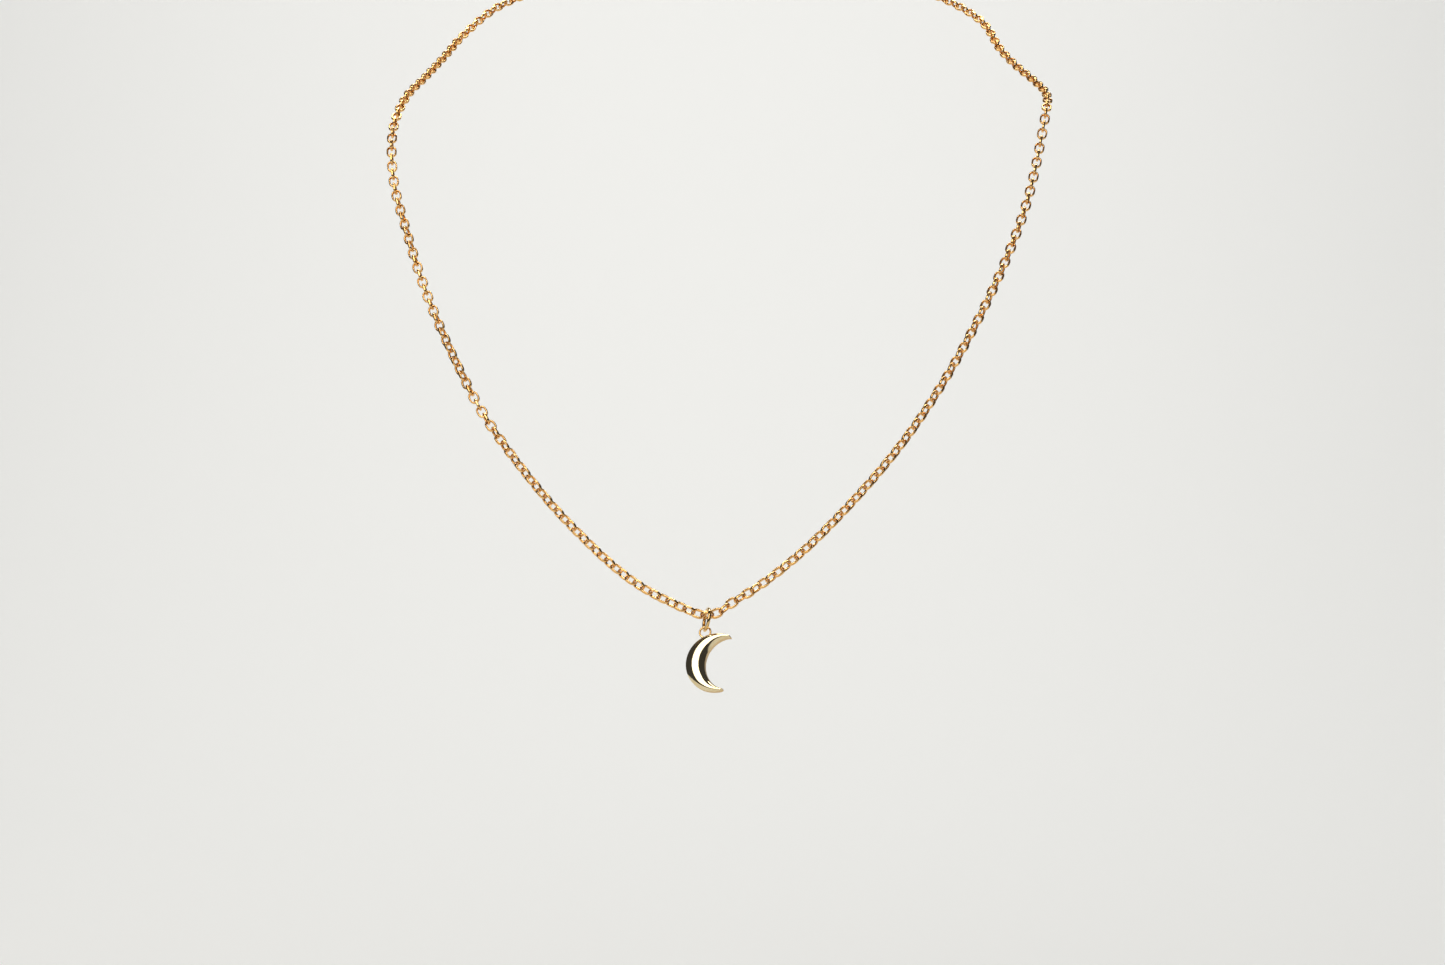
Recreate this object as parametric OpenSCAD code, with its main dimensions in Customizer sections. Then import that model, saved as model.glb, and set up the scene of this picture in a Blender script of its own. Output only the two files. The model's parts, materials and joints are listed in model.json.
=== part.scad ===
// Pendant necklace: an oval cable chain worn round a neck, with a crescent moon on a ring bail.
// Millimetres. X is to the right of a person who faces the wearer, the front is -Y and Z is up.
// The origin is in the middle of the neck opening, at the height of the clasp.

/* [Chain link] */
// Length of the opening inside one link
link_inner_l = 1.95; // [1.9:0.01:2.1]
// Width of the opening inside one link
link_inner_w = 1.33; // [1.25:0.01:1.5]
// Width of the wire, seen across the link's face
wire_w = 0.34; // [0.25:0.01:0.36]
// Thickness of the wire, from face to face
wire_t = 0.52; // [0.4:0.01:0.54]
// Diameter of the round that softens the wire's edges
wire_round = 0.58; // [0.56:0.01:0.65]

/* [Worn shape] */
// Lean of the wearer's chest from upright, in degrees
chest_lean = 28; // [20:1:35]

/* [Bail] */
// Outer diameter of the ring that hangs on the chain
bail_od = 4.6; // [4.5:0.1:5]
// Wire diameter of that ring
bail_wire = 0.6; // [0.45:0.05:0.65]
// Turn of the ring about its upright line, against the moon
bail_turn = 30; // [20:1:35]
// Gap from the chain's centre line to the ring's inner edge
bail_seat = 0.85; // [0.85:0.05:1.1]

/* [Moon] */
// Radius of the crescent's outer arc
moon_r = 5.5; // [5.3:0.05:5.8]
// Radius of the crescent's inner arc
moon_bite_r = 5.05; // [4.9:0.05:5.2]
// Distance between the centres of the two arcs
moon_bite = 3.1; // [2.9:0.1:3.3]
// Distance of the crescent's centre to the right of its ring
moon_offset = 2.7; // [2.4:0.1:2.9]
// Turn of the crescent's opening below level, in degrees
moon_turn = 2.5; // [0:0.5:8]
// Height of the crescent's upright side wall
moon_wall = 1; // [0.8:0.1:1.4]
// Rise of the puffed front above that wall
moon_puff = 0.8; // [0.4:0.1:1]
// Lean of the moon from upright, where it lies on the chest
moon_lean = 22; // [15:1:28]
// Turn of the moon to the left of straight ahead
moon_yaw = 17; // [8:1:20]
// Outer diameter of the small ring on top of the moon
loop_od = 2.4; // [2.3:0.05:2.8]
// Wire diameter of that ring
loop_wire = 0.36; // [0.3:0.02:0.4]

/* [Clasp] */
// Outer radius of the clasp's round head
clasp_head_r = 3; // [2.8:0.1:3.4]
// Radius of the opening in the head
clasp_hole_r = 2; // [1.9:0.1:2.2]
// Thickness of the head
clasp_t = 2; // [1.8:0.1:2.2]
// Distance from the head's centre to the eye at the clasp's tail
clasp_tail = 5.2; // [5:0.1:6]
// Thickness of the lever that closes the head
lever_t = 0.7; // [0.6:0.1:0.8]
// Diameter of the rivet that the lever turns on
rivet_d = 0.7; // [0.6:0.05:0.8]
// Outer diameter of the ring that the clasp hooks into
catch_od = 4; // [3.8:0.1:5]
// Outer diameter of the ring between the clasp and the chain
end_od = 3.2; // [3.1:0.1:3.6]
// Wire diameter of those two rings
ring_wire = 0.5; // [0.45:0.05:0.5]

/* [Hidden] */
gold = [0.93, 0.66, 0.2];
pale_gold = [0.93, 0.8, 0.52];
steel = [0.7, 0.7, 0.72];
$fn = 32;

// The chain's centre line. It lies on the chest's slope between the two shoulders, where a point
// is [right, up the slope, twist], and behind them it is [x, y, z, twist]. The twist turns the
// links about the line, in degrees.
chest_foot = [0, -90, -141.5];
nape_to_left = [
  [-6.2, 30, 0, -28], [-11, 30, 0, -28], [-20, 29, -1, -24], [-31, 26, -3, -18],
  [-42, 20, -7, -12], [-50, 12.5, -12, -6], [-56, 4, -19, 0], [-59.5, -7, -26, 0],
  [-62.5, -19, -32.5, 0], [-65, -28, -37.5, 0]
];
chest = [
  [-66.5, 106, 0], [-65.5, 95.5, 5], [-62.5, 84.5, 28], [-58, 70.5, 10], [-50.7, 53, 48],
  [-46, 43.5, 5], [-37.5, 30.5, -31], [-27.5, 18, -28], [-14, 5.5, -24], [-8, 2.2, -20],
  [-5, 0.8, -16], [-2.8, 0.2, -12], [-0.5, 1, -8], [1.3, 2.5, -6], [6, 5.7, -16],
  [13, 11.6, -24], [24.5, 24, -29], [34.5, 37, -30], [42.5, 50, -25], [49.5, 63.5, -22],
  [55.5, 77, -14], [60.5, 91, -4], [64, 105.5, 0], [65.5, 113, 0]
];
right_to_nape = [
  [66.5, -30, -37.5, 0], [65, -22, -33.5, 0], [62, -14, -29, 0], [59.5, -7, -24.5, 0],
  [56.5, 4, -16.5, 0], [50, 12.5, -10.5, -6], [42, 20, -6, -12], [31, 26, -2.3, -18],
  [20, 29, -0.3, -24], [11, 30, 0.6, -28], [6.3, 30, 0.6, -28]
];
middle_knot = len(nape_to_left) + 11;
links_per_side = 139;
links_per_node = 9;
end_node_first = 14 * links_per_node + 1;
end_node_links = links_per_side - 14 * links_per_node;
steps = 10;

// Knots of the whole line, and a smooth curve through them whose slope at each knot is the
// distance-weighted mean of the slopes on its two sides.
function on_chest(p) = [
  p[0],
  chest_foot.y + p[1] * sin(chest_lean),
  chest_foot.z + p[1] * cos(chest_lean),
  p[2]
];
function place_of(p) = [p[0], p[1], p[2]];
knots = concat(nape_to_left, [for (p = chest) on_chest(p)], right_to_nape);
last = len(knots) - 1;
gaps = [for (i = [0:last - 1]) norm(place_of(knots[i + 1] - knots[i]))];
rates = [for (i = [0:last - 1]) (knots[i + 1] - knots[i]) / gaps[i]];
slopes = [
  for (i = [0:last])
    i == 0 ? rates[0] : i == last ? rates[last - 1]
    : (rates[i] * gaps[i - 1] + rates[i - 1] * gaps[i]) / (gaps[i] + gaps[i - 1])
];
function between(i, t) =
  (2 * t ^ 3 - 3 * t ^ 2 + 1) * knots[i] + (t ^ 3 - 2 * t ^ 2 + t) * gaps[i] * slopes[i]
  + (3 * t ^ 2 - 2 * t ^ 3) * knots[i + 1] + (t ^ 3 - t ^ 2) * gaps[i] * slopes[i + 1];
line = concat([for (i = [0:last - 1], j = [0:steps - 1]) between(i, j / steps)], [knots[last]]);
run = [
  for (i = 0, s = 0; i < len(line);
       s = s + (i < len(line) - 1 ? norm(place_of(line[i + 1] - line[i])) : 0), i = i + 1) s
];
tables = [for (axis = [0:3]) [for (i = [0:len(line) - 1]) [run[i], line[i][axis]]]];
function along(s) = [for (axis = [0:2]) lookup(s, tables[axis])];
function twist_at(s) = lookup(s, tables[3]);

// Link 0 holds the bail. Links are numbered outwards from it, below zero on the left.
middle_run = run[middle_knot * steps];
left_pitch = middle_run / (links_per_side + 0.5);
right_pitch = (run[len(run) - 1] - middle_run) / (links_per_side + 0.5);
function run_at(k) = middle_run + k * (k < 0 ? left_pitch : right_pitch);

// Axes of a link: along the line, across it and out of its face.
outward = [0, -cos(chest_lean), sin(chest_lean)];
function unit(v) = v / norm(v);
function link_frame(k) =
  let (
    a = along(run_at(k - 0.5)),
    b = along(run_at(k + 0.5)),
    forward = unit(b - a),
    face = unit(outward - (outward * forward) * forward),
    turn = twist_at(run_at(k)) + (abs(k) % 2 == 0 ? 90 : 0),
    normal = face * cos(turn) + cross(forward, face) * sin(turn)
  ) [forward, cross(normal, forward), normal, (a + b) / 2];

// Pendant, in a frame whose origin is the middle of link 0, X right and Z up its own slope.
bail_z = bail_wire + bail_seat - bail_od / 2;
bail_foot_z = bail_z - bail_od / 2 + bail_wire / 2;
hang_gap = 0.1;
loop_z = bail_foot_z + bail_wire / 2 + hang_gap + loop_wire - loop_od / 2;
solder_depth = 0.2;
moon_z = loop_z - loop_od / 2 + solder_depth - sqrt(moon_r ^ 2 - moon_offset ^ 2);
moon_tip_x = (moon_bite ^ 2 + moon_r ^ 2 - moon_bite_r ^ 2) / (2 * moon_bite);
moon_outer_tip = acos(moon_tip_x / moon_r);
moon_inner_tip = acos((moon_tip_x - moon_bite) / moon_bite_r);
moon_breadth = moon_bite + moon_r - moon_bite_r;
moon_stations = 56;
moon_rows = 12;
tip_trim = 0.02;

// Clasp, along X behind the neck. The two rings lie flat, so their wire crosses the clasp's
// openings, and each stands clear of the opening's edge by the sagitta of its own curve.
function edge_gap(od, t) =
  let (r = od / 2 - ring_wire) r - sqrt(r ^ 2 - (t / 2) ^ 2) + 0.04;
nape = place_of(knots[0]);
link_gap = 0.05;
ring_in_link = (link_inner_l - left_pitch) / 2 - ring_wire / 2 - link_gap;
tail_r = 1.3;
tail_hole_r = 0.7;
tail_t = 1;
catch_rise = knots[last].z - nape.z;
end_ring_x = nape.x + ring_in_link + end_od / 2 - ring_wire / 2;
tail_x = end_ring_x + end_od / 2 + tail_hole_r - ring_wire - edge_gap(end_od, tail_t);
head_x = tail_x + clasp_tail;
catch_x = head_x + sqrt(clasp_hole_r ^ 2 - catch_rise ^ 2) - edge_gap(catch_od, clasp_t)
  - ring_wire + catch_od / 2;
// Places on the clasp are [along, down] from the middle of its head.
pivot = [-2.2, 1.2];
pivot_boss_r = 0.9;
hub_r = 0.65;
slot_t = 1.2;
slot_left = 1.2;
slot_foot = 0.4;
slot_size = [2.6, 4];
tail_inset = 0.3;
lever_y = -0.15;
rivet_play = 0.03;
rivet_proud = 0.05;
tip_angle = 40;
body_gate_angle = 142;
nose_gate_angle = 152;
gate_r = 3.62;
nose_play = 0.07;
nose_inset = 0.1;
thumb = [-2.9, 2.7];
thumb_r = 0.45;
spring_wire = 0.18;
spring_play = 0.18;
spring_y = 0.4;

module wire_section() {
  intersection() {
    circle(d = wire_round);
    square([wire_w, wire_t], center = true);
  }
}

// A link along X with its face to Z: two half rounds and two straight sides.
module link() {
  side = link_inner_l - link_inner_w;
  bend = (link_inner_w + wire_w) / 2;
  for (end = [0, 180])
    rotate([0, 0, end]) {
      translate([side / 2, 0, 0])
        rotate([0, 0, -90])
          rotate_extrude(angle = 180)
            translate([bend, 0]) wire_section();
      translate([-side / 2, bend, 0])
        rotate([90, 0, 90])
          linear_extrude(side) wire_section();
    }
}

module links(first, number, side) {
  for (i = [first:first + number - 1]) {
    f = link_frame(side * i);
    multmatrix([
      [f[0].x, f[1].x, f[2].x, f[3].x],
      [f[0].y, f[1].y, f[2].y, f[3].y],
      [f[0].z, f[1].z, f[2].z, f[3].z],
      [0, 0, 0, 1]
    ]) link();
  }
}

module ring(od, wire) {
  rotate_extrude() translate([(od - wire) / 2, 0]) circle(d = wire);
}

module left_chain_1() { color(gold) links(0, links_per_node + 1, -1); }
module left_chain_2() { color(gold) links(1 * links_per_node + 1, links_per_node, -1); }
module left_chain_3() { color(gold) links(2 * links_per_node + 1, links_per_node, -1); }
module left_chain_4() { color(gold) links(3 * links_per_node + 1, links_per_node, -1); }
module left_chain_5() { color(gold) links(4 * links_per_node + 1, links_per_node, -1); }
module left_chain_6() { color(gold) links(5 * links_per_node + 1, links_per_node, -1); }
module left_chain_7() { color(gold) links(6 * links_per_node + 1, links_per_node, -1); }
module left_chain_8() { color(gold) links(7 * links_per_node + 1, links_per_node, -1); }
module left_chain_9() { color(gold) links(8 * links_per_node + 1, links_per_node, -1); }
module left_chain_10() { color(gold) links(9 * links_per_node + 1, links_per_node, -1); }
module left_chain_11() { color(gold) links(10 * links_per_node + 1, links_per_node, -1); }
module left_chain_12() { color(gold) links(11 * links_per_node + 1, links_per_node, -1); }
module left_chain_13() { color(gold) links(12 * links_per_node + 1, links_per_node, -1); }
module left_chain_14() { color(gold) links(13 * links_per_node + 1, links_per_node, -1); }
module left_chain_15() { color(gold) links(end_node_first, end_node_links, -1); }
module right_chain_1() { color(gold) links(1, links_per_node, 1); }
module right_chain_2() { color(gold) links(1 * links_per_node + 1, links_per_node, 1); }
module right_chain_3() { color(gold) links(2 * links_per_node + 1, links_per_node, 1); }
module right_chain_4() { color(gold) links(3 * links_per_node + 1, links_per_node, 1); }
module right_chain_5() { color(gold) links(4 * links_per_node + 1, links_per_node, 1); }
module right_chain_6() { color(gold) links(5 * links_per_node + 1, links_per_node, 1); }
module right_chain_7() { color(gold) links(6 * links_per_node + 1, links_per_node, 1); }
module right_chain_8() { color(gold) links(7 * links_per_node + 1, links_per_node, 1); }
module right_chain_9() { color(gold) links(8 * links_per_node + 1, links_per_node, 1); }
module right_chain_10() { color(gold) links(9 * links_per_node + 1, links_per_node, 1); }
module right_chain_11() { color(gold) links(10 * links_per_node + 1, links_per_node, 1); }
module right_chain_12() { color(gold) links(11 * links_per_node + 1, links_per_node, 1); }
module right_chain_13() { color(gold) links(12 * links_per_node + 1, links_per_node, 1); }
module right_chain_14() { color(gold) links(13 * links_per_node + 1, links_per_node, 1); }
module right_chain_15() { color(gold) links(end_node_first, end_node_links, 1); }

// Stands a shape in the pendant's frame.
module on_pendant() {
  translate(link_frame(0)[3])
    rotate([-moon_lean, 0, -moon_yaw])
      children();
}

module bail_ring() {
  color(pale_gold)
    on_pendant()
      translate([0, 0, bail_z])
        rotate([0, 90, bail_turn])
          ring(bail_od, bail_wire);
}

module moon_loop() {
  color(pale_gold)
    on_pendant()
      translate([0, 0, loop_z])
        rotate([90, 0, 0])
          ring(loop_od, loop_wire);
}

// One cut across the crescent, from its outer arc over the puffed front to its inner arc and
// back along the flat rear. The puff is half an ellipse whose rise goes with the breadth there.
function moon_cut(a) =
  let (
    out_angle = moon_outer_tip + a * (360 - 2 * moon_outer_tip),
    in_angle = moon_inner_tip + a * (360 - 2 * moon_inner_tip),
    outer = moon_r * [cos(out_angle), sin(out_angle)],
    inner = [moon_bite, 0] + moon_bite_r * [cos(in_angle), sin(in_angle)],
    rise = moon_puff * sqrt(norm(inner - outer) / moon_breadth)
  ) concat(
    [
      for (i = [0:moon_rows])
        let (
          t = (1 - cos(180 * i / moon_rows)) / 2,
          p = outer + (inner - outer) * t
        ) [p.x, -moon_wall / 2 - rise * sin(180 * i / moon_rows), p.y]
    ],
    [[inner.x, moon_wall / 2, inner.y], [outer.x, moon_wall / 2, outer.y]]
  );

module crescent_moon() {
  cuts = [
    for (j = [0:moon_stations]) moon_cut(tip_trim + (1 - 2 * tip_trim) * j / moon_stations)
  ];
  size = moon_rows + 3;
  around = [for (i = [0:size - 1]) i];
  skin = [
    for (j = [0:moon_stations - 1], i = around)
      let (n = (i + 1) % size)
        [j * size + i, j * size + n, (j + 1) * size + n, (j + 1) * size + i]
  ];
  ends = [
    [for (i = around) size - 1 - i],
    [for (i = around) moon_stations * size + i]
  ];
  color(pale_gold)
    on_pendant()
      translate([moon_offset, 0, moon_z])
        rotate([0, moon_turn, 0])
          polyhedron([for (c = cuts) each c], concat(skin, ends), convexity = 6);
}

// Stands a flat shape upright behind the neck, its Y pointing down and its thickness along Y.
module upright(x, t, y = 0) {
  translate([x, nape.y + y, nape.z])
    rotate([-90, 0, 0])
      linear_extrude(t, center = true) children();
}

// The sector between the clasp's tip and an angle near the rivet, cut off round about the rivet
// so that the lever's nose swings past the tip.
module gate(to, reach) {
  r = 3 * clasp_head_r;
  middle = (tip_angle + to) / 2;
  intersection() {
    polygon([
      [0, 0],
      r * [cos(tip_angle), sin(tip_angle)],
      r * [cos(middle), sin(middle)],
      r * [cos(to), sin(to)]
    ]);
    translate(pivot) circle(reach, $fn = 64);
  }
}

module clasp_body() {
  color(gold)
    difference() {
      union() {
        upright(head_x, clasp_t)
          difference() {
            union() {
              difference() {
                circle(clasp_head_r, $fn = 64);
                gate(body_gate_angle, gate_r);
              }
              translate(pivot) circle(pivot_boss_r);
            }
            circle(clasp_hole_r, $fn = 64);
          }
        upright(head_x, tail_t)
          difference() {
            union() {
              translate([-clasp_tail, 0]) circle(tail_r);
              translate([-clasp_tail, -tail_r])
                square([clasp_tail - clasp_hole_r - tail_inset, 2 * tail_r]);
            }
            translate([-clasp_tail, 0]) circle(tail_hole_r);
          }
      }
      upright(head_x, slot_t)
        translate([pivot.x - slot_left, slot_foot]) square(slot_size);
      upright(head_x, 2 * clasp_t)
        translate(pivot) circle(d = rivet_d);
    }
}

module clasp_lever() {
  nose_in = clasp_hole_r + nose_inset;
  nose_out = clasp_head_r - 2 * nose_inset;
  arm = thumb - pivot;
  arm_w = 0.7;
  color(gold)
    upright(head_x, lever_t, lever_y)
      difference() {
        union() {
          intersection() {
            difference() {
              circle(nose_out, $fn = 64);
              circle(nose_in, $fn = 64);
            }
            gate(nose_gate_angle, gate_r - nose_play);
          }
          translate(pivot) circle(hub_r);
          translate(thumb) circle(thumb_r);
          translate(pivot)
            rotate(atan2(arm.y, arm.x))
              translate([0, -arm_w / 2]) square([norm(arm), arm_w]);
        }
        translate(pivot) circle(d = rivet_d + 2 * rivet_play);
      }
}

module clasp_rivet() {
  color(gold)
    upright(head_x, clasp_t + 2 * rivet_proud)
      translate(pivot) circle(d = rivet_d);
}

// One turn of wire round the rivet, beside the lever.
module clasp_spring() {
  color(steel)
    translate([head_x + pivot.x, nape.y + spring_y, nape.z - pivot.y])
      rotate([90, 0, 0])
        ring(rivet_d + 2 * spring_play + spring_wire, spring_wire);
}

module clasp_end_ring() {
  color(gold)
    translate([end_ring_x, nape.y, nape.z]) ring(end_od, ring_wire);
}

module catch_ring() {
  color(gold)
    translate([catch_x, nape.y, nape.z + catch_rise]) ring(catch_od, ring_wire);
}

left_chain_1();
left_chain_2();
left_chain_3();
left_chain_4();
left_chain_5();
left_chain_6();
left_chain_7();
left_chain_8();
left_chain_9();
left_chain_10();
left_chain_11();
left_chain_12();
left_chain_13();
left_chain_14();
left_chain_15();
right_chain_1();
right_chain_2();
right_chain_3();
right_chain_4();
right_chain_5();
right_chain_6();
right_chain_7();
right_chain_8();
right_chain_9();
right_chain_10();
right_chain_11();
right_chain_12();
right_chain_13();
right_chain_14();
right_chain_15();
bail_ring();
moon_loop();
crescent_moon();
clasp_body();
clasp_lever();
clasp_rivet();
clasp_spring();
clasp_end_ring();
catch_ring();
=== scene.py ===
import json
import math
import bmesh
import bpy
import numpy as np
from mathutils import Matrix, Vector


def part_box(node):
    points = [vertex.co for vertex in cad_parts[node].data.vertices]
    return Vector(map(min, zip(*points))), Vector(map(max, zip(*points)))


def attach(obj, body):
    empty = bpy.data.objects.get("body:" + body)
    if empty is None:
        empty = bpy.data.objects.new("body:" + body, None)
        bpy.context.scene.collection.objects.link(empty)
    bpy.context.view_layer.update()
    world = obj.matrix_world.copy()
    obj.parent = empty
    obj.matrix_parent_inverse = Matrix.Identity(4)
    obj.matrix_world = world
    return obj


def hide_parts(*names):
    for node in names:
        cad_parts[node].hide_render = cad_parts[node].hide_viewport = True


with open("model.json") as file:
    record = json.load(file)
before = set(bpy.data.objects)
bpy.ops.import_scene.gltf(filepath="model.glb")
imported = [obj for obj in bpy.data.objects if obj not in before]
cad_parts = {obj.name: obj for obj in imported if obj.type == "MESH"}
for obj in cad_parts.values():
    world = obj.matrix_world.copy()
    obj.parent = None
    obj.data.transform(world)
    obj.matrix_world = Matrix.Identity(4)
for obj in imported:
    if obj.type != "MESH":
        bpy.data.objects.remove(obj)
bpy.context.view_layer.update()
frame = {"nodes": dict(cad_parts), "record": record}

print("frame loaded:", len(frame["nodes"]), "nodes")
mm = 0.001

# Camera and studio, in metres, watts and sRGB. The window light stands where the moon's face mirrors
# it to the camera; the room in front stays dim, so flat gold faces turn dark beside bright edges.
studio = {
    "eye": (0.0, -0.570, -0.117),
    "lens": 65.6,
    "middle": (0.0, -0.05, -0.09),
    "floorHeight": -0.26,
    "floorFront": -0.7,
    "halfWidth": 0.65,
    "wallDistance": 1.3,
    "wallTop": 1.1,
    "sweepBend": 0.8,
    "paper": "#f6f6f3",
    "room": "#404042",
    "roomStrength": 0.9,
    "lights": [
        {"name": "windowLight", "place": (-0.42, -0.95, 0.62), "size": (0.95, 0.95), "watts": 7.5,
         "colour": "#fffdf9"},
        {"name": "lamp", "place": (-0.25, -0.55, 0.75), "size": (0.12, 0.12), "watts": 0.7,
         "colour": "#fff4e6"},
        {"name": "wallLight", "place": (0.0, 0.35, 1.3), "size": (1.4, 0.3), "watts": 17,
         "colour": "#ffffff", "target": (0.0, 1.0, -0.1)},
    ],
}

# Finish of each metal: two tones of its colour, lowest and highest roughness, size and depth of its
# polishing marks in mm, and how strongly the metal's slow waves bend a reflection.
waveWidth = 1.6  # mm, a buffed dent
finishes = {
    "drawnWire": {"tones": ("#eeb66a", "#f7ca8a"), "roughness": (0.12, 0.26), "markSize": 0.22,
                  "markDepth": 0.004, "waves": 0.0},
    "mirrorPolish": {"tones": ("#e8d5a8", "#efdfb8"), "roughness": (0.07, 0.13), "markSize": 0.25,
                     "markDepth": 0.001, "waves": 0.3},
    "polishedWire": {"tones": ("#e8bd78", "#f2d095"), "roughness": (0.08, 0.16), "markSize": 0.25,
                     "markDepth": 0.001, "waves": 0.3},
    "castSatin": {"tones": ("#d9b981", "#e8cb98"), "roughness": (0.36, 0.50), "markSize": 0.12,
                  "markDepth": 0.012, "waves": 0.0},
    "tumbled": {"tones": ("#e6b05c", "#f1c679"), "roughness": (0.14, 0.26), "markSize": 0.25,
                "markDepth": 0.005, "waves": 1.5},
    "springSteel": {"tones": ("#b9babd", "#cfd0d2"), "roughness": (0.22, 0.34), "markSize": 0.08,
                    "markDepth": 0.002, "waves": 0.0},
}


def linear(hexColour):
    # An sRGB hex colour as linear light: c / 12.92 below 0.04045, ((c + 0.055) / 1.055) ** 2.4 above.
    parts = [int(hexColour[i:i + 2], 16) / 255 for i in (1, 3, 5)]
    light = [c / 12.92 if c <= 0.04045 else ((c + 0.055) / 1.055) ** 2.4 for c in parts]
    return (*light, 1.0)


def addNode(material, kind, settings=None, **links):
    # Adds a node with its settings. Each link is a socket's name, with _ for a space, or n and its
    # number, and takes another node's socket or a plain value.
    node = material.node_tree.nodes.new(kind)
    for name, value in (settings or {}).items():
        setattr(node, name, value)
    for name, value in links.items():
        key = int(name[1:]) if name[0] == "n" and name[1:].isdigit() else name.replace("_", " ")
        if isinstance(value, bpy.types.NodeSocket):
            material.node_tree.links.new(value, node.inputs[key])
        else:
            node.inputs[key].default_value = value
    return node


def newMaterial(name):
    # An empty node material.
    material = bpy.data.materials.new(name)
    material.use_nodes = True
    material.node_tree.nodes.clear()
    return material


def metalMaterial(name, finish):
    # Two noises on the real place: slow waves of waveWidth shift the tone and bend reflections, and
    # fine marks of the finish's own size vary the gloss and roughen the surface.
    material = newMaterial(name)
    place = addNode(material, "ShaderNodeTexCoord").outputs["Object"]
    waves = addNode(material, "ShaderNodeTexNoise", Vector=place, Scale=1 / (waveWidth * mm),
                    Detail=3.0)
    marks = addNode(material, "ShaderNodeTexNoise", Vector=place, Scale=1 / (finish["markSize"] * mm),
                    Detail=4.0, Roughness=0.6)
    tone = addNode(material, "ShaderNodeValToRGB", Fac=waves.outputs["Fac"])
    for point, position, colour in zip(tone.color_ramp.elements, (0.3, 0.7), finish["tones"]):
        point.position = position
        point.color = linear(colour)
    low, high = finish["roughness"]
    gloss = addNode(material, "ShaderNodeMapRange", Value=marks.outputs["Fac"], From_Min=0.3,
                    From_Max=0.7, To_Min=low, To_Max=high)
    height = addNode(material, "ShaderNodeMath", {"operation": "MULTIPLY_ADD"},
                     n0=waves.outputs["Fac"], n1=finish["waves"], n2=marks.outputs["Fac"])
    bump = addNode(material, "ShaderNodeBump", Height=height.outputs[0], Strength=1.0,
                   Distance=finish["markDepth"] * mm)
    shader = addNode(material, "ShaderNodeBsdfPrincipled", Base_Color=tone.outputs["Color"],
                     Metallic=1.0, Roughness=gloss.outputs[0], Normal=bump.outputs["Normal"])
    addNode(material, "ShaderNodeOutputMaterial", Surface=shader.outputs[0])
    return material


# Gold-plated brass wire, drawn and trimmed: warm yellow, with bright edges beside dark flats.
chainGold = metalMaterial("goldPlatedBrassDrawnWire", finishes["drawnWire"])
# Gold-plated casting, mirror-polished: paler, with one clean band of light between dark rims.
moonGold = metalMaterial("goldPlatedBrassMirrorPolished", finishes["mirrorPolish"])
# The same casting's side wall, as cast under its plating: lighter and satin, it glows softly.
wallGold = metalMaterial("goldPlatedBrassCastSatin", finishes["castSatin"])
# Bail and loop, the same wire polished by hand: between the two in warmth, with clean streaks.
bailGold = metalMaterial("goldPlatedBrassPolishedWire", finishes["polishedWire"])
# Clasp castings, barrel-polished: glossy, with rounded and slightly uneven faces.
claspGold = metalMaterial("goldPlatedBrassTumbled", finishes["tumbled"])
# Spring wire, drawn steel: grey, with fine bright lines.
springSteel = metalMaterial("springSteelDrawnWire", finishes["springSteel"])
print("materials made")


def meshFrom(name, points, faces, materials, body, faceSlots=None):
    # A smooth mesh object from an array of points in metres and a list of face arrays.
    mesh = bpy.data.meshes.new(name)
    mesh.from_pydata(points.tolist(), [], sum((part.tolist() for part in faces), []))
    for material in materials:
        mesh.materials.append(material)
    if faceSlots is not None:
        mesh.polygons.foreach_set("material_index", faceSlots.astype(np.int32))
    mesh.polygons.foreach_set("use_smooth", np.full(len(mesh.polygons), True))
    mesh.update()
    piece = bpy.data.objects.new(name, mesh)
    bpy.context.scene.collection.objects.link(piece)
    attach(piece, body)
    return piece


def mergeDoubles(mesh, flatten=0):
    # Joins points less than a micron apart, joins faces that lie within the given angle of one
    # another, and turns every face outwards.
    work = bmesh.new()
    work.from_mesh(mesh)
    bmesh.ops.remove_doubles(work, verts=work.verts, dist=0.001 * mm)
    if flatten:
        bmesh.ops.dissolve_limit(work, angle_limit=flatten, verts=work.verts, edges=work.edges)
    bmesh.ops.recalc_face_normals(work, faces=work.faces)
    work.to_mesh(mesh)
    work.free()


def gridFaces(rows, columns, closeRows=True, closeColumns=True):
    # Quads between the points of a rows x columns grid, wrapped round on the closed sides.
    i, j = np.meshgrid(np.arange(rows - (not closeRows)), np.arange(columns - (not closeColumns)),
                       indexing="ij")
    nextI = (i + 1) % rows
    nextJ = (j + 1) % columns
    corners = [i * columns + j, nextI * columns + j, nextI * columns + nextJ, i * columns + nextJ]
    return np.stack(corners, -1).reshape(-1, 4)


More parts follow.
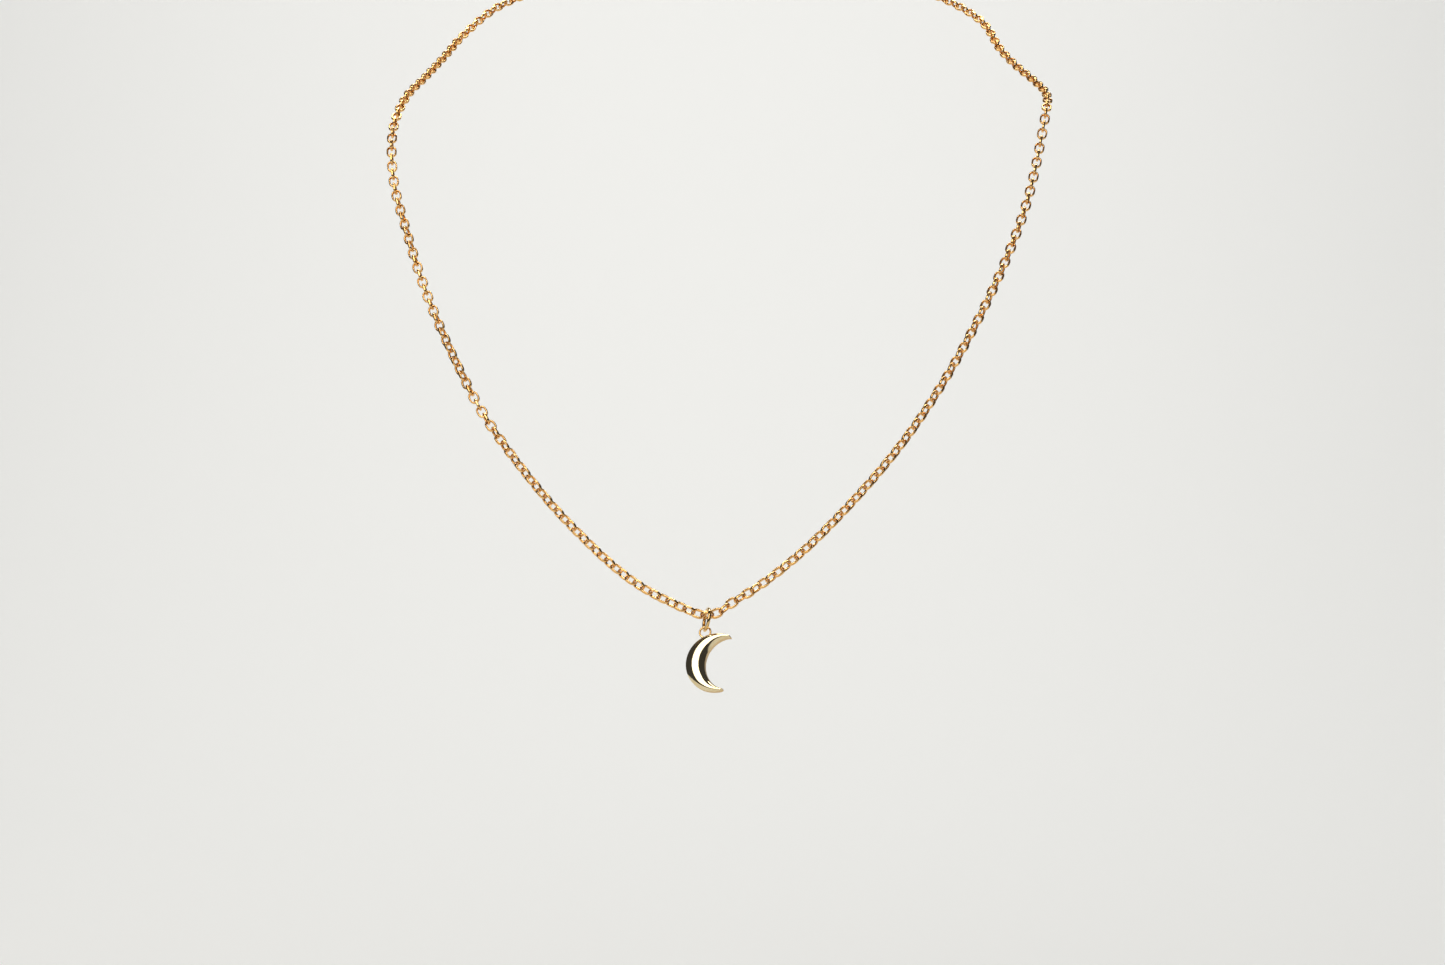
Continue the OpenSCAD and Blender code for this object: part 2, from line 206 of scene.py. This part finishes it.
# The chain's line, as the frame has it, in millimetres: [x, y, z, twist] behind the shoulders and
# [right, up the slope, twist] on the chest.
chain = {
    "innerLength": 1.95,
    "innerWidth": 1.33,
    "wireWidth": 0.34,
    "wireThickness": 0.52,
    "crown": 0.08,
    "cornerLean": 0.3,
    "linksPerSide": 139,
    "linksPerNode": 9,
    "chestLean": math.radians(28),
    "chestFoot": (0, -90, -141.5),
    "middleKnot": 21,
    "steps": 10,
}
napeToLeft = [
    (-6.2, 30, 0, -28), (-11, 30, 0, -28), (-20, 29, -1, -24), (-31, 26, -3, -18),
    (-42, 20, -7, -12), (-50, 12.5, -12, -6), (-56, 4, -19, 0), (-59.5, -7, -26, 0),
    (-62.5, -19, -32.5, 0), (-65, -28, -37.5, 0),
]
chest = [
    (-66.5, 106, 0), (-65.5, 95.5, 5), (-62.5, 84.5, 28), (-58, 70.5, 10), (-50.7, 53, 48),
    (-46, 43.5, 5), (-37.5, 30.5, -31), (-27.5, 18, -28), (-14, 5.5, -24), (-8, 2.2, -20),
    (-5, 0.8, -16), (-2.8, 0.2, -12), (-0.5, 1, -8), (1.3, 2.5, -6), (6, 5.7, -16),
    (13, 11.6, -24), (24.5, 24, -29), (34.5, 37, -30), (42.5, 50, -25), (49.5, 63.5, -22),
    (55.5, 77, -14), (60.5, 91, -4), (64, 105.5, 0), (65.5, 113, 0),
]
rightToNape = [
    (66.5, -30, -37.5, 0), (65, -22, -33.5, 0), (62, -14, -29, 0), (59.5, -7, -24.5, 0),
    (56.5, 4, -16.5, 0), (50, 12.5, -10.5, -6), (42, 20, -6, -12), (31, 26, -2.3, -18),
    (20, 29, -0.3, -24), (11, 30, 0.6, -28), (6.3, 30, 0.6, -28),
]


def chainLine(c):
    # Cubic pieces between knots; the slope at a knot is the distance-weighted mean of its two sides.
    x0, y0, z0 = c["chestFoot"]
    lean = c["chestLean"]
    onChest = [(x0 + u, y0 + v * math.sin(lean), z0 + v * math.cos(lean), w) for u, v, w in chest]
    knots = np.array(napeToLeft + onChest + rightToNape, float)
    gaps = np.linalg.norm(np.diff(knots[:, :3], axis=0), axis=1)[:, None]
    rates = np.diff(knots, axis=0) / gaps
    inner = (rates[1:] * gaps[:-1] + rates[:-1] * gaps[1:]) / (gaps[1:] + gaps[:-1])
    slopes = np.vstack([rates[:1], inner, rates[-1:]])
    t = (np.arange(c["steps"]) / c["steps"])[None, :, None]
    a, b = knots[:-1, None], knots[1:, None]
    sa, sb = slopes[:-1, None] * gaps[:, None], slopes[1:, None] * gaps[:, None]
    line = ((2 * t**3 - 3 * t**2 + 1) * a + (t**3 - 2 * t**2 + t) * sa
            + (3 * t**2 - 2 * t**3) * b + (t**3 - t**2) * sb)
    line = np.vstack([line.reshape(-1, 4), knots[-1:]])
    steps = np.linalg.norm(np.diff(line[:, :3], axis=0), axis=1)
    return line, np.concatenate([[0], np.cumsum(steps)])


line, run = chainLine(chain)
middleRun = run[chain["middleKnot"] * chain["steps"]]


def linkFrames(numbers):
    # For link numbers, counted outwards from the bail: axes along, across and out of the face, and
    # the middle. A link lies between two points of the line one pitch apart; odd and even links
    # stand a quarter turn apart, and the line's twist is added.
    sides = chain["linksPerSide"] + 0.5
    leftPitch = middleRun / sides
    rightPitch = (run[-1] - middleRun) / sides

    def runAt(k):
        return middleRun + k * np.where(k < 0, leftPitch, rightPitch)

    def placeAt(s):
        return np.stack([np.interp(s, run, line[:, axis]) for axis in range(3)], -1)

    a = placeAt(runAt(numbers - 0.5))
    b = placeAt(runAt(numbers + 0.5))
    forward = (b - a) / np.linalg.norm(b - a, axis=-1, keepdims=True)
    lean = chain["chestLean"]
    outward = np.array([0, -math.cos(lean), math.sin(lean)])
    face = outward - (forward @ outward)[:, None] * forward
    face /= np.linalg.norm(face, axis=-1, keepdims=True)
    turn = np.radians(np.interp(runAt(numbers), run, line[:, 3]) + np.where(numbers % 2, 0, 90))[:, None]
    normal = face * np.cos(turn) + np.cross(forward, face) * np.sin(turn)
    return np.stack([forward, np.cross(normal, forward), normal], 1), (a + b) / 2


def linkShape(c, stations=16, corners=6):
    # One link about the origin: a flat-sided wire profile (radial, thickness) carried round an oval
    # of two half circles and two straights. Returns points, outward normals and quads.
    w, t, crown = c["wireWidth"] / 2, c["wireThickness"] / 2, c["crown"]
    profile = np.array([(w, -t + crown), (w, t - crown), (0, t),
                        (-w, t - crown), (-w, -t + crown), (0, -t)])
    lean = c["cornerLean"]
    profileNormals = np.array([(1, -lean), (1, lean), (0, 1), (-1, lean), (-1, -lean), (0, -1)])
    arc = np.radians(np.linspace(-90, 90, stations // 2))
    angles = np.concatenate([arc, arc + math.pi])
    half = (c["innerLength"] - c["innerWidth"]) / 2
    centres = np.repeat([half, -half], stations // 2)
    bend = (c["innerWidth"] + c["wireWidth"]) / 2
    out = np.stack([np.cos(angles), np.sin(angles)], -1)
    radius = bend + profile[:, 0]
    points = np.zeros((stations, corners, 3))
    points[..., :2] = out[:, None] * radius[None, :, None]
    points[..., 0] += centres[:, None]
    points[..., 2] = profile[:, 1]
    normals = np.zeros((stations, corners, 3))
    normals[..., :2] = out[:, None] * profileNormals[None, :, :1]
    normals[..., 2] = profileNormals[:, 1]
    return points.reshape(-1, 3), normals.reshape(-1, 3), gridFaces(stations, corners)


def bodyOfNode(node):
    # The body whose list in the record holds the node.
    return next(body for body, nodes in frame["record"]["behaviour"]["bodies"].items() if node in nodes)


def chainPiece(side, index):
    # The links of one node, from one link shape turned and moved by whole arrays.
    count = chain["linksPerNode"]
    first = count * (index - 1) + 1
    last = chain["linksPerSide"] if index == 15 else first + count - 1
    if side < 0 and index == 1:
        first = 0
    numbers = side * np.arange(first, last + 1)
    axes, middles = linkFrames(numbers)
    points, normals, faces = linkShape(chain)
    placed = np.einsum("pj,kji->kpi", points, axes) + middles[:, None]
    turned = np.einsum("pj,kji->kpi", normals, axes)
    allFaces = faces[None] + (np.arange(len(numbers)) * len(points))[:, None, None]
    name = ("left" if side < 0 else "right") + "_chain_" + str(index)
    piece = meshFrom(name + "_links", placed.reshape(-1, 3) * mm, [allFaces.reshape(-1, 4)],
                     [chainGold], bodyOfNode(name))
    piece.data.normals_split_custom_set_from_vertices(turned.reshape(-1, 3).tolist())
    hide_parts(name)


for index in range(1, 16):
    chainPiece(-1, index)
    chainPiece(1, index)
print("chain made")


# The pendant, in millimetres, in a frame at the middle of link 0 with Z up the moon's own slope.
pendant = {
    "lean": math.radians(22),
    "yaw": math.radians(17),
    "bailOuter": 4.6,
    "bailWire": 0.6,
    "bailTurn": math.radians(30),
    "bailSeat": 0.85,
    "loopOuter": 2.4,
    "loopWire": 0.36,
    "hangGap": 0.1,
    "solder": 0.2,
    "moonRadius": 5.5,
    "biteRadius": 5.05,
    "bite": 3.1,
    "offset": 2.7,
    "turn": math.radians(2.5),
    "wall": 1.0,
    "puff": 0.8,
    "puffPower": 2.6,
    "edgeRound": 0.06,
    "tipTrim": 0.03,
    "tip": 0.24,
    "seamDepth": 0.03,
    "seamWidth": 0.03,
    "bailSeam": math.radians(205),
}


def turnAbout(axis, angle):
    # Rotation matrix about X, Y or Z by the right-hand rule.
    c, s = math.cos(angle), math.sin(angle)
    i, j = {"x": (1, 2), "y": (2, 0), "z": (0, 1)}[axis]
    m = np.eye(3)
    m[i, i] = m[j, j] = c
    m[i, j], m[j, i] = -s, s
    return m


pendantAxes = turnAbout("z", -pendant["yaw"]) @ turnAbout("x", -pendant["lean"])
pendantMiddle = linkFrames(np.array([0]))[1][0]


def onPendant(points):
    # From the pendant's own frame, in mm, to the shared frame, in metres.
    return (points @ pendantAxes.T + pendantMiddle) * mm


def ringPiece(name, node, place, material, ring, seam=None, around=96, section=24):
    # A round wire ring about Z, set in place: at angle u the wire's circle of radius r stands at
    # (R + r cos v, r sin v). At a seam, where the wire's two ends meet, r dips by seamDepth mm over
    # seamWidth radians.
    outer, wire = ring
    u = np.linspace(0, 2 * math.pi, around, endpoint=False)[:, None]
    v = np.linspace(0, 2 * math.pi, section, endpoint=False)[None]
    r = np.full_like(u, wire / 2)
    if seam is not None:
        away = np.abs((u - seam + math.pi) % (2 * math.pi) - math.pi)
        r = r - pendant["seamDepth"] * np.exp(-(away / pendant["seamWidth"]) ** 2)
    reach = (outer - wire) / 2 + r * np.cos(v)
    points = np.stack([reach * np.cos(u), reach * np.sin(u), r * np.sin(v)], -1).reshape(-1, 3)
    piece = meshFrom(name, place(points), [gridFaces(around, section)], [material], bodyOfNode(node))
    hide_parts(node)


bailHeight = pendant["bailWire"] + pendant["bailSeat"] - pendant["bailOuter"] / 2
bailFoot = bailHeight - pendant["bailOuter"] / 2 + pendant["bailWire"] / 2
loopHeight = (bailFoot + pendant["bailWire"] / 2 + pendant["hangGap"] + pendant["loopWire"]
              - pendant["loopOuter"] / 2)
bailTurned = turnAbout("z", pendant["bailTurn"]) @ turnAbout("y", math.pi / 2)
loopTurned = turnAbout("x", math.pi / 2)
ringPiece("bail_ring_polished", "bail_ring",
          lambda points: onPendant(points @ bailTurned.T + (0, 0, bailHeight)),
          bailGold, (pendant["bailOuter"], pendant["bailWire"]), pendant["bailSeam"])
ringPiece("moon_loop_polished", "moon_loop",
          lambda points: onPendant(points @ loopTurned.T + (0, 0, loopHeight)),
          bailGold, (pendant["loopOuter"], pendant["loopWire"]))


def moonCuts(p, stations=180, domeSteps=32):
    # Cuts across the crescent, one at each share a of its two arcs; a cut's half breadth h becomes
    # the root of h^2 + tip^2, so the horns end blunt. At share x of that half breadth the front
    # stands puff * (1 - |x| ** power) above the wall, less on a narrow cut. The cut then goes down
    # the inner wall, along the rear and up the outer wall, with small rounds at the rear.
    big, small, bite = p["moonRadius"], p["biteRadius"], p["bite"]
    tipX = (bite**2 + big**2 - small**2) / (2 * bite)
    outerTip = math.acos(tipX / big)
    innerTip = math.acos((tipX - bite) / small)
    a = np.linspace(p["tipTrim"], 1 - p["tipTrim"], stations)
    outAngle = outerTip + a * (2 * math.pi - 2 * outerTip)
    inAngle = innerTip + a * (2 * math.pi - 2 * innerTip)
    outer = big * np.stack([np.cos(outAngle), np.sin(outAngle)], -1)
    inner = small * np.stack([np.cos(inAngle), np.sin(inAngle)], -1) + (bite, 0)
    middle = (outer + inner) / 2
    half = np.linalg.norm(inner - outer, axis=1)[:, None] / 2
    towards = (inner - outer) / (2 * half)
    half = np.sqrt(half**2 + p["tip"] ** 2)
    rise = p["puff"] * np.sqrt(half / half.max())
    t = np.linspace(0, math.pi, domeSteps + 1)
    e, rear = p["edgeRound"], p["wall"] / 2
    inset = np.array([0, 0, 0.3 * e, e])
    shares = np.concatenate([-np.cos(t)[None] * half, half - inset, inset[::-1] - half], 1)
    drop = np.array([e - rear, rear - e, rear - 0.3 * e, rear])
    dome = -rear - rise * (1 - np.abs(np.cos(t))[None] ** p["puffPower"])
    depth = np.concatenate([dome, np.tile(np.concatenate([drop, drop[::-1]]), (stations, 1))], 1)
    flat = middle[:, None] + towards[:, None] * shares[..., None]
    return np.concatenate([flat, depth[..., None]], -1), middle, half


def roundTips(cuts, middle, half, wall, rows=10):
    # Past each end the last cut's breadth and dome shrink by cos t while it moves on by half sin t;
    # the last one is a single upright line, where the wall meets itself.
    t = np.linspace(0, math.pi / 2, rows)[1:, None, None]
    ends = []
    for edge, beside in ((0, 1), (-1, -2)):
        along = middle[edge] - middle[beside]
        along *= half[edge] / np.linalg.norm(along)
        cut = cuts[edge]
        flat = middle[edge] + (cut[:, :2] - middle[edge]) * np.cos(t) + along * np.sin(t)
        above = np.minimum(cut[:, 2:] + wall / 2, 0)
        ends.append(np.concatenate([flat, cut[:, 2:] + above * (np.cos(t) - 1)], -1))
    return np.concatenate([ends[0][::-1], cuts, ends[1]])


def moonPiece(p, domeSteps=32):
    # The cuts as one closed skin: the dome's faces take the mirror polish and all others the satin.
    cuts = roundTips(*moonCuts(p, domeSteps=domeSteps), p["wall"])
    rows, columns = cuts.shape[:2]
    moonHeight = (loopHeight - p["loopOuter"] / 2 + p["solder"]
                  - math.sqrt(p["moonRadius"]**2 - p["offset"]**2))
    upright = cuts.reshape(-1, 3)[:, [0, 2, 1]]
    points = upright @ turnAbout("y", p["turn"]).T + (p["offset"], 0, moonHeight)
    slots = np.tile(np.arange(columns), rows - 1) >= domeSteps
    piece = meshFrom("crescent_moon_polished", onPendant(points),
                     [gridFaces(rows, columns, closeRows=False)], [moonGold, wallGold],
                     bodyOfNode("crescent_moon"), slots)
    mergeDoubles(piece.data)
    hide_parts("crescent_moon")


moonPiece(pendant)
print("pendant made")


# The clasp: how far each part's corners are rounded, in mm, and where its rings' seams stand.
clasp = {
    "corners": {"clasp_body": 0.16, "clasp_lever": 0.09, "clasp_rivet": 0.05},
    "endSeam": math.radians(80),
    "catchSeam": math.radians(100),
}


def roundedCopy(node, radius):
    # The CAD node's own shape with its doubles merged, flat faces joined and every corner rounded.
    mesh = frame["nodes"][node].data.copy()
    mesh.name = node + "_tumbled"
    mergeDoubles(mesh, math.radians(2))
    mesh.materials.clear()
    mesh.materials.append(claspGold)
    mesh.polygons.foreach_set("use_smooth", np.full(len(mesh.polygons), True))
    piece = bpy.data.objects.new(mesh.name, mesh)
    bpy.context.scene.collection.objects.link(piece)
    bevel = piece.modifiers.new("corners", "BEVEL")
    bevel.width = radius * mm
    bevel.segments = 3
    bevel.use_clamp_overlap = False  # the short edges of round outlines would hold the width down
    bevel.limit_method = "ANGLE"
    bevel.angle_limit = math.radians(35)
    weighted = piece.modifiers.new("faces", "WEIGHTED_NORMAL")
    weighted.keep_sharp = True
    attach(piece, bodyOfNode(node))
    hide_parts(node)


def ringFromBox(node, name, material, seam):
    # A ring that lies flat, or stands facing front, where its CAD node's box says.
    low, high = (np.array(corner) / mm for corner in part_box(node))
    size = high - low
    turned = np.eye(3) if size[2] < size[1] else loopTurned
    ringPiece(name, node, lambda points: (points @ turned.T + (low + high) / 2) * mm, material,
              (size[0], min(size[1:])), seam)


for node, radius in clasp["corners"].items():
    roundedCopy(node, radius)
ringFromBox("clasp_end_ring", "clasp_end_ring_tumbled", claspGold, clasp["endSeam"])
ringFromBox("catch_ring", "catch_ring_tumbled", claspGold, clasp["catchSeam"])
ringFromBox("clasp_spring", "clasp_spring_wire", springSteel, None)
print("clasp made")


def paperSweep():
    # Floor and wall in one sheet, joined by a quarter round: y = far - R + R sin t, and
    # z = low + R (1 - cos t).
    low, far, bendRadius = studio["floorHeight"], studio["wallDistance"], studio["sweepBend"]
    turn = np.linspace(0, math.pi / 2, 25)
    y = np.concatenate([[studio["floorFront"]], far - bendRadius + bendRadius * np.sin(turn), [far]])
    z = np.concatenate([[low], low + bendRadius * (1 - np.cos(turn)), [studio["wallTop"]]])
    x = np.array([-studio["halfWidth"], studio["halfWidth"]])
    points = np.stack([np.repeat(x, len(y)), np.tile(y, 2), np.tile(z, 2)], -1)
    mesh = bpy.data.meshes.new("paperSweep")
    mesh.from_pydata(points.tolist(), [], gridFaces(2, len(y), False, False)[:, ::-1].tolist())
    mesh.polygons.foreach_set("use_smooth", np.full(len(mesh.polygons), True))
    # Uncoated paper, calendered: matt, with a faint tooth.
    material = newMaterial("calenderedPaper")
    place = addNode(material, "ShaderNodeTexCoord").outputs["Object"]
    tooth = addNode(material, "ShaderNodeTexNoise", Vector=place, Scale=1 / (1.1 * mm), Detail=2.0)
    bump = addNode(material, "ShaderNodeBump", Height=tooth.outputs["Fac"], Distance=0.1 * mm,
                   Strength=0.3)
    shader = addNode(material, "ShaderNodeBsdfPrincipled", Base_Color=linear(studio["paper"]),
                     Roughness=0.9, Normal=bump.outputs["Normal"])
    addNode(material, "ShaderNodeOutputMaterial", Surface=shader.outputs[0])
    mesh.materials.append(material)
    sheet = bpy.data.objects.new("paperSweep", mesh)
    bpy.context.scene.collection.objects.link(sheet)


def softLight(row):
    # A rectangular light that faces its target.
    light = bpy.data.lights.new(row["name"], "AREA")
    light.shape = "RECTANGLE"
    light.size, light.size_y = row["size"]
    light.energy = row["watts"]
    light.color = linear(row["colour"])[:3]
    lamp = bpy.data.objects.new(row["name"], light)
    lamp.location = row["place"]
    facing = Vector(row.get("target", studio["middle"])) - lamp.location
    lamp.rotation_euler = facing.to_track_quat("-Z", "Y").to_euler()
    bpy.context.scene.collection.objects.link(lamp)


def setStudio():
    # The dim room, the lights and the camera, which looks level along +Y.
    room = bpy.data.worlds.new("room")
    room.use_nodes = True
    background = room.node_tree.nodes["Background"]
    background.inputs["Color"].default_value = linear(studio["room"])
    background.inputs["Strength"].default_value = studio["roomStrength"]
    bpy.context.scene.world = room
    bpy.context.scene.view_settings.view_transform = "Standard"
    for row in studio["lights"]:
        softLight(row)
    camera = bpy.data.cameras.new("camera")
    camera.lens = studio["lens"]
    camera.sensor_width = 36
    camera.clip_start = 0.01
    eye = bpy.data.objects.new("camera", camera)
    eye.location = studio["eye"]
    eye.rotation_euler = (math.pi / 2, 0, 0)
    bpy.context.scene.collection.objects.link(eye)
    bpy.context.scene.camera = eye


paperSweep()
setStudio()
print("studio made")
